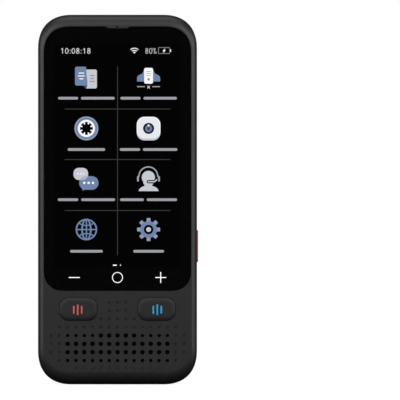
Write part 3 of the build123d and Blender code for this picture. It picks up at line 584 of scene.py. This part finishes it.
border_outline = [
    *eased_corner(glass_right, glass_top, -reach_top, -reach_top),
    *arc(notch_half_width - notch_depth, glass_top, notch_depth, 0, -90, 6),
    *arc(notch_depth - notch_half_width, glass_top, notch_depth, -90, -180, 6),
    *reversed(eased_corner(-glass_right, glass_top, reach_top, -reach_top)),
    *eased_corner(-glass_right, glass_bottom, reach_bottom, reach_bottom),
    *reversed(eased_corner(glass_right, glass_bottom, -reach_bottom, reach_bottom)),
]
screen_outline = block(-screen_half_width, screen_bottom, screen_half_width, screen_top, screen_radius)
picture("glass_border_print", [(0, border_ink, border_outline, screen_outline)])
picture("screen_black", [(0, unlit, screen_outline)])

# the menu: two columns of four tiles, divided by thin lines
column_x = 12.3
row_z = (121.7, 101.4, 81.7, 61.4)
word_z = (113.35, 93.05, 73.2, 52.8)
divider_z = (109.08, 89.1, 68.93)
divider_length = 41.9
divider_width = 0.34
upright_low = 51.2
upright_high = 125.9

upright = block(-divider_width / 2, upright_low, divider_width / 2, upright_high, divider_width / 3)
dividers = [(1, line_grey, upright)]
for z in divider_z:
    dividers.append((2, line_grey, pill(0, z, divider_length, divider_width)))
picture("menu_dividers", dividers)


# ---- icons: each is drawn about (x, z), the middle of its tile, in millimetres from there

def two_cards(x, z):
    """Two overlapping cards with lines of writing on each."""
    corner = 0.7
    front_card = [
        *arc(x - 3.8, z + 3.4, corner, 90, 180, 6),
        *arc(x - 3.8, z - 2.65, corner, 180, 270, 6),
        *arc(x - 0.25, z - 2.65, corner, 270, 355, 6),
        (x - 0.2, z + 4.1),
    ]
    fold = [(x - 1.3, z - 3.3), (x + 0.45, z - 3.3), (x - 0.1, z - 4.4), (x - 0.5, z - 4.4)]
    shapes = [
        (1, pale, block(x - 0.5, z - 4.5, x + 4.15, z + 3.0, corner)),
        (2, navy, fold),
        (3, slate, front_card),
    ]
    writing = 0.4
    writing_pitch = 1.15
    for k, length in enumerate((2.3, 2.7, 1.7)):
        shapes.append((4, white, pill(x - 2.0, z + 1.6 - writing_pitch * k, length, writing)))
    for k, length in enumerate((2.0, 1.5, 2.0)):
        shapes.append((4, grey, pill(x + 2.3, z + 0.6 - writing_pitch * k, length, writing)))
    return shapes


def cloud_page(x, z):
    """A cloud with a page in front of it, and under it a line broken by a cross."""
    puffs = ((-3.15, 1.25, 1.42), (-2.6, 2.2, 0.85), (0, 2.9, 2.4), (2.6, 2.2, 0.85), (3.15, 1.25, 1.42))
    shapes = [
        (1, slate, cloud(x, z - 1.75, puffs)),
        (2, white, block(x - 1.75, z - 2.6, x + 1.75, z + 3.65, 0.7)),
        (3, grey, disc(x, z - 0.9, 0.5, steps=20)),
    ]
    for k in range(3):
        shapes.append((3, grey, pill(x, z + 2.2 - 0.8 * k, 1.9, 0.2)))
    cross_z = z - 3.98
    cross_half = 0.44
    for layer, side in ((1, -1), (2, 1)):
        shapes.append((1, word_grey, pill(x + side * 3.0, z - 3.77, 3.1, 0.38)))
        lean = side * cross_half
        limb = stroke(x - cross_half, cross_z - lean, x + cross_half, cross_z + lean, 0.2)
        shapes.append((layer, white, limb))
    return shapes


def reel(x, z):
    """A recording reel: rim, white face and toothed black hub."""
    return [
        (1, steel_blue, disc(x, z, 4.72)),
        (2, slate, disc(x, z, 4.25)),
        (3, white, disc(x, z, 3.42)),
        (4, unlit, cog(x, z, tip=2.55, root=1.75, teeth=8, share=0.66, taper=1.08)),
    ]


def small_camera(x, z):
    """A rounded square with a round lens and a glint in it."""
    return [
        (1, pale, block(x - 4.7, z - 4.75, x + 4.7, z + 4.6, 3.1)),
        (2, white, block(x - 4.65, z - 3.9, x + 4.65, z + 4.6, 3.0)),
        (3, pearl, block(x - 4.3, z - 3.75, x + 4.3, z + 4.1, 2.8)),
        (4, dark, disc(x, z, 2.2)),
        (5, dusk, disc(x, z - 0.05, 1.42)),
        (6, navy, disc(x, z - 0.05, 0.62)),
        (7, white, disc(x, z + 1.15, 0.4, steps=20)),
    ]


def two_bubbles(x, z):
    """Two speech bubbles with dots. Where they overlap, the upper one shines through."""
    upper_corner = 2.1
    lower_corner = 2.6
    tail = [(x - 2.0, z - 3.4), (x - 0.4, z - 4.4), (x - 1.4, z - 4.9)]
    overlap = [
        *arc(x - 1.45, z + 1.4, upper_corner, 270, 343, 12),
        *arc(x - 0.25, z - 1.8, lower_corner, 90, 155, 12),
    ]
    shapes = [
        (1, pale, block(x - 5.1, z - 0.7, x + 0.65, z + 4.1, upper_corner)),
        (2, slate, block(x - 2.85, z - 4.55, x + 4.78, z + 0.8, lower_corner)),
        (2, slate, tail),
        (3, lilac, overlap),
    ]
    for k in range(3):
        shapes.append((4, white, disc(x - 0.85 + 1.72 * k, z - 1.85, 0.48, steps=20)))
        shapes.append((4, white, disc(x - 3.35 + 1.1 * k, z + 1.8, 0.3, steps=16)))
    return shapes


def headset(x, z):
    """A plain bust with a headset, whose boom stands off the face by a dark edge."""
    foot = z - 5.1
    flatness = 0.56
    shoulders = [(px, foot + (pz - foot) * flatness) for px, pz in arc(x, foot, 3.9, 0, 180)]
    line = 0.48
    boom = ((x - 0.1, z - 1.38, x + 2.35, z - 1.38), (x + 2.35, z - 1.38, x + 3.2, z - 0.65))
    boom_edge = 1.35
    shapes = [
        (1, pale, disc(x - 0.1, z + 0.3, 2.6)),
        (2, pale, block(x - 2.1, z - 2.75, x + 1.95, z + 0.3, 1.1)),
        (3, pale, block(x - 1.6, z - 4.0, x + 1.4, z - 2.0, 0.3)),
        (4, pale, shoulders),
        (1, mist, bow(x - 0.1, z + 0.75, 3.72, line, 0, 180)),
    ]
    for k, ends in enumerate(boom):
        shapes.append((5 + k, unlit, stroke(*ends, boom_edge)))
        shapes.append((7 + k, pale, stroke(*ends, line)))
    for side in (-1, 1):
        shapes.append((2, mist, pill(x - 0.05 + side * 4.15, z - 0.25, 0.72, 2.2)))
    return shapes


def globe(x, z):
    """A wire globe."""
    radius = 4.25
    line = 0.6
    thin = line * 0.8
    shapes = [
        (1, slate, disc(x, z, radius), disc(x, z, radius - line)),
        (2, slate, disc(x, z, radius - 0.1, 0.5), disc(x, z, radius - line, 0.38)),
        (3, slate, pill(x, z, 2 * radius - line, thin)),
        (4, slate, pill(x, z, thin, 2 * radius - line)),
    ]
    parallel_radius = 5.1
    parallel_centre = 6.7
    for side in (-1, 1):
        start = -90 * side - 36
        parallel = bow(x, z + side * parallel_centre, parallel_radius, line * 0.75, start, start + 72)
        shapes.append((5, slate, parallel))
    return shapes


def gear_wheel(x, z):
    """A gear with a dot at its middle."""
    root = 3.3
    teeth = cog(x, z, tip=4.55, root=root, teeth=8, share=0.6, taper=0.7)
    return [
        (1, steel_blue, teeth, disc(x, z, 2.1)),
        (2, slate, disc(x, z, root), disc(x, z, 1.88)),
        (2, pale, disc(x, z, 0.95, steps=24)),
    ]


tiles = (
    ("icon_cards", two_cards, -column_x, row_z[0]),
    ("icon_cloud_page", cloud_page, column_x, row_z[0]),
    ("icon_reel", reel, -column_x, row_z[1]),
    ("icon_camera", small_camera, column_x, row_z[1]),
    ("icon_bubbles", two_bubbles, -column_x, row_z[2]),
    ("icon_headset", headset, column_x, row_z[2]),
    ("icon_globe", globe, -column_x, row_z[3]),
    ("icon_gear", gear_wheel, column_x, row_z[3]),
)
for name, drawing, x, z in tiles:
    picture(name, drawing(x, z))

# captions: plain bars in place of words, whose lengths are given for the left and right tile of each row
word_height = 1.05
word_gap = 1.15
caption_words = (
    ((7.9, 13.3), (8.0, 13.2)),
    ((14.8,), (8.0, 13.6)),
    ((8.1, 13.4), (9.4, 12.0)),
    ((12.9,), (12.1,)),
)


def caption(x, z, words):
    """A bar for each word, centred together."""
    shapes = []
    at = x - (sum(words) + word_gap * (len(words) - 1)) / 2
    for word in words:
        shapes.append((1, word_grey, pill(at + word / 2, z, word, word_height)))
        at += word + word_gap
    return shapes


for row, ((left_words, right_words), z) in enumerate(zip(caption_words, word_z), 1):
    picture(f"caption_{row}_left", caption(-column_x, z, left_words))
    picture(f"caption_{row}_right", caption(column_x, z, right_words))


# ---- status bar: clock, signal fan, charge and battery

status_z = 132.05
figure_height = 2.2
figure_bottom = status_z - figure_height / 2
figure_top = figure_bottom + figure_height


def figure_shapes(figure, x, width, line):
    """The 0, 1, 8, colon or per cent sign about x, in lines of one width: (layer, outline, holes...)."""
    if figure == "0":
        half = figure_height / 2
        hole = disc(x, status_z, half - line, (width / 2 - line) / (half - line))
        return [(1, disc(x, status_z, half, width / figure_height), hole)]
    if figure == "8":
        lower = figure_height * 0.27
        upper = figure_height * 0.24
        squeeze = 1.75 * width / figure_height
        bowls = []
        for z, radius in ((figure_bottom + lower, lower), (figure_top - upper, upper)):
            hole = disc(x, z, radius - line, (radius * squeeze - line) / (radius - line))
            bowls.append((1, disc(x, z, radius, squeeze), hole))
        return bowls
    if figure == "1":
        stem = x + line / 2
        tip = figure_top - line / 2
        flag = (x - width * 0.3, figure_top - figure_height * 0.22)
        return [
            (1, stroke(stem, figure_bottom + line / 2, stem, tip, line)),
            (2, stroke(stem, tip, *flag, line)),
        ]
    if figure == ":":
        dots = (figure_bottom + line, figure_bottom + figure_height * 0.62)
        return [(1, disc(x, z, line * 0.7, steps=16)) for z in dots]
    nought = figure_height * 0.2
    aside = width * 0.3
    shapes = []
    for nought_x, z in ((x - aside, figure_top - nought), (x + aside, figure_bottom + nought)):
        shapes.append((1, disc(nought_x, z, nought), disc(nought_x, z, nought - line * 0.7)))
    lean = width * 0.22
    slash = stroke(x - lean, figure_bottom + line / 2, x + lean, figure_top - line / 2, line * 0.8)
    return [*shapes, (2, slash)]


def numerals(finish, figures, left, width, line, gap):
    """A row of figures from left to right."""
    shapes = []
    for figure in figures:
        room = 2 * line if figure == ":" else width
        for layer, *loops in figure_shapes(figure, left + room / 2, width, line):
            shapes.append((layer, finish, *loops))
        left += room + gap
    return shapes


picture("clock_digits", numerals(pearl, "10:08:18", left=-22.5, width=1.36, line=0.22, gap=0.4))
picture("charge_digits", numerals(soft_white, "80%", left=10.95, width=1.25, line=0.2, gap=0.3))

fan_x = 6.68
fan_z = status_z - 1.1
wedge = [(fan_x, fan_z), *arc(fan_x, fan_z, 0.82, 55, 125, 8)]
fan = [(1, white, wedge)]
for radius in (1.36, 2.2):
    fan.append((1, bright, bow(fan_x, fan_z, radius, 0.22, 48, 132)))
picture("signal_fan", fan)

cell_left = 16.1
cell_right = 20.7
cell_bottom = status_z - 1.15
cell_top = status_z + 1.45
cell_line = 0.2
cell_outline = block(cell_left, cell_bottom, cell_right, cell_top, 0.25)
cell_window = block(
    cell_left + cell_line, cell_bottom + cell_line, cell_right - cell_line, cell_top - cell_line, 0.1
)
cell_knob = block(20.8, status_z - 0.4, 21.15, status_z + 0.65, 0.12)
bolt_corners = ((18.95, 1.1), (17.75, 0.0), (18.3, 0.0), (18.05, -0.9), (19.1, 0.3), (18.55, 0.3))
bolt = [(x, status_z + z) for x, z in bolt_corners]
picture("battery_mark", [(1, grey, cell_outline, cell_window), (1, white, cell_knob), (1, white, bolt)])

page_z = 47.3
page_dash = pill(-1.05, page_z, 1.5, 0.37)
page_dot = disc(1.18, page_z, 0.18, steps=16)
picture("page_marks", [(1, bright, page_dash), (1, bright, page_dot)])


# ---- touch symbols in the glass border, under the display

symbol_z = 42.42
symbol_x = 17.1
symbol_size = 4.4
symbol_line = 0.3
ring_radius = 2.12
ring_line = symbol_line * 0.8
minus = pill(-symbol_x, symbol_z, symbol_size, symbol_line)
ring = disc(0, symbol_z, ring_radius)
ring_hole = disc(0, symbol_z, ring_radius - ring_line)
plus_across = pill(symbol_x, symbol_z, symbol_size, symbol_line)
plus_upright = pill(symbol_x, symbol_z, symbol_line, symbol_size)
symbols = (
    ("symbol_minus", [(1, bright, minus)]),
    ("symbol_ring", [(1, bright, ring, ring_hole)]),
    ("symbol_plus", [(1, bright, plus_across), (2, bright, plus_upright)]),
)
for name, shapes in symbols:
    picture(name, shapes)


# ---- studio: white floor, white surroundings and soft lamps, in metres and degrees

floor_radius = 0.3
floor_sides = 96
floor_glow = 0.86
floor_tone = tone(140)
floor_bounce = tone(16)  # what the object's light and reflections see of the floor

floor_mesh = bpy.data.meshes.new("floor")
rim = [(x, y, 0) for x, y in disc(0, 0, floor_radius, steps=floor_sides)]
floor_mesh.from_pydata(rim, [], [range(floor_sides)])
floor = bpy.data.objects.new("floor", floor_mesh)
scene.collection.objects.link(floor)
floor_paint = material("floor_paint", floor_tone, 0.9, Specular_IOR_Level=0.1, Emission_Color=FULL_WHITE)
seen = add_node(floor_paint, "LightPath").outputs["Is Camera Ray"]
paint(floor_paint, blend_colours(floor_paint, seen, floor_bounce, floor_tone))
seen_glow = combine(floor_paint, "MULTIPLY", seen, floor_glow)
link(floor_paint, seen_glow, principled(floor_paint).inputs["Emission Strength"])
floor_mesh.materials.append(floor_paint)

# the camera sees white all round; gloss and glass see it only towards +Y, straight behind the object
ambience = 0.025
backdrop_edge = 0.93  # cosines of the angle from +Y, between which the backdrop rises to white
backdrop_full = 0.99

world = bpy.data.worlds.new("studio")
world.use_nodes = True
scene.world = world
rays = add_node(world, "LightPath").outputs
mirrored = combine(world, "MAXIMUM", rays["Is Glossy Ray"], rays["Is Transmission Ray"])
outward = split_axes(world, add_node(world, "TexCoord").outputs["Generated"])
behind = ranged(world, outward["Y"], 0, 1, backdrop_edge, backdrop_full)
backdrop = combine(world, "MULTIPLY", mirrored, behind)
shown = combine(world, "MAXIMUM", rays["Is Camera Ray"], backdrop)
surroundings = world.node_tree.nodes["Background"]
surroundings.inputs["Color"].default_value = FULL_WHITE
link(world, combine(world, "MAXIMUM", shown, ambience), surroundings.inputs["Strength"])


def softbox(name, azimuth, elevation, width, height, level, distance=0.9):
    """A soft lamp of that radiance, aimed at the casing's middle. Azimuth 0 is in front, 90 to the right."""
    middle = (cad_box[0] + cad_box[1]) / 2
    turn = radians(azimuth)
    lift = radians(elevation)
    away = Vector((sin(turn) * cos(lift), -cos(turn) * cos(lift), sin(lift)))
    lamp = bpy.data.lights.new(name, "AREA")
    lamp.shape = "RECTANGLE"
    lamp.size = width
    lamp.size_y = height
    lamp.energy = level * pi * width * height
    holder = bpy.data.objects.new(name, lamp)
    holder.location = middle + distance * away
    holder.rotation_euler = away.to_track_quat("Z", "Y").to_euler()
    scene.collection.objects.link(holder)
    return holder


def light_only(lamps, group_name, *node_names):
    """Keeps these lamps to those CAD nodes."""
    group = bpy.data.collections.new(group_name)
    for name in node_names:
        group.objects.link(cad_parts[name])
    for lamp in lamps:
        lamp.light_linking.receiver_collection = group


softbox("left_box", azimuth=-70, elevation=12, width=1.15, height=0.5, level=2.8)
softbox("right_box", azimuth=70, elevation=12, width=1.15, height=0.5, level=2.8)
softbox("front_left_box", azimuth=-26, elevation=24, width=0.4, height=0.5, level=4.0)
softbox("front_right_box", azimuth=26, elevation=24, width=0.4, height=0.5, level=4.0)
softbox("top_box", azimuth=0, elevation=84, width=0.8, height=0.66, level=1.75)

# behind, a broad strip and a fill for the pillow back, and two small lamps for glints in the camera
rear_strip = softbox("rear_strip", azimuth=227, elevation=6, width=0.5, height=0.6, level=5.5)
rear_fill = softbox("rear_fill", azimuth=160, elevation=5, width=0.6, height=0.5, level=1.9)
light_only((rear_strip, rear_fill), "back_shell", "rear_housing")
blue_glint = softbox("blue_glint", azimuth=172, elevation=25, width=0.3, height=0.2, level=8.0)
blue_glint.data.color = (0.62, 0.78, 1.0)
violet_glint = softbox("violet_glint", azimuth=150, elevation=-9, width=0.16, height=0.16, level=5.0)
violet_glint.data.color = (0.8, 0.62, 1.0)
camera_nodes = ("camera_ring", "camera_window", "camera_lens", "camera_mask")
light_only((blue_glint, violet_glint), "camera_trim", *camera_nodes)
